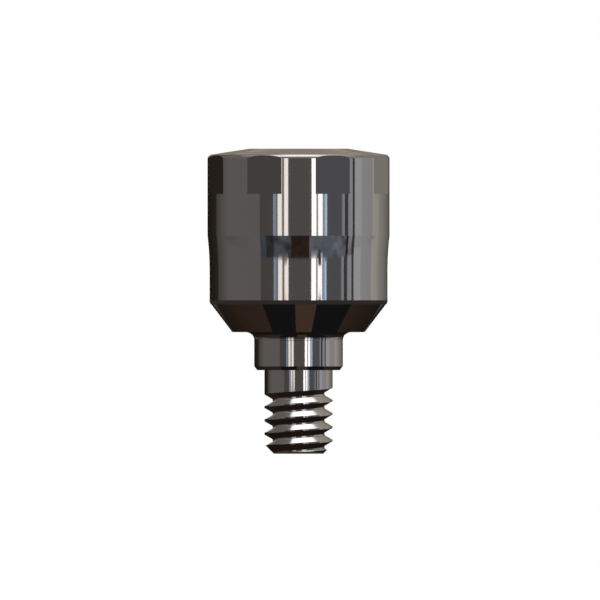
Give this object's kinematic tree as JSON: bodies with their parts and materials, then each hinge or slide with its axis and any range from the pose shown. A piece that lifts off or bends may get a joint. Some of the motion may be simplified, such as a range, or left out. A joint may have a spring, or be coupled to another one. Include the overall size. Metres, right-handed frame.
{
  "type": "magnetic dental abutment",
  "caption": "Turned titanium implant abutment: round head with driver flats and a sealed magnet, slim waist, cone to the implant seat, centring neck and fine threaded stem.",
  "frame": {"origin": "on the turning axis, in the plane where the underside of the collar's cone sits on the implant", "axes": "+Z along the turning axis from the threaded stem to the head; the camera of the picture looks along +Y, midway between two of the eight driver flats"},
  "size_m": [0.0048, 0.0048, 0.008],
  "materials": {
    "titanium_body": "polished",
    "magnet_alloy": "satin",
    "titanium_lid": "polished"
  },
  "bodies": {
    "root": {"abutment_body": "titanium_body", "magnet": "magnet_alloy", "magnet_lid": "titanium_lid"}
  },
  "joints": []
}
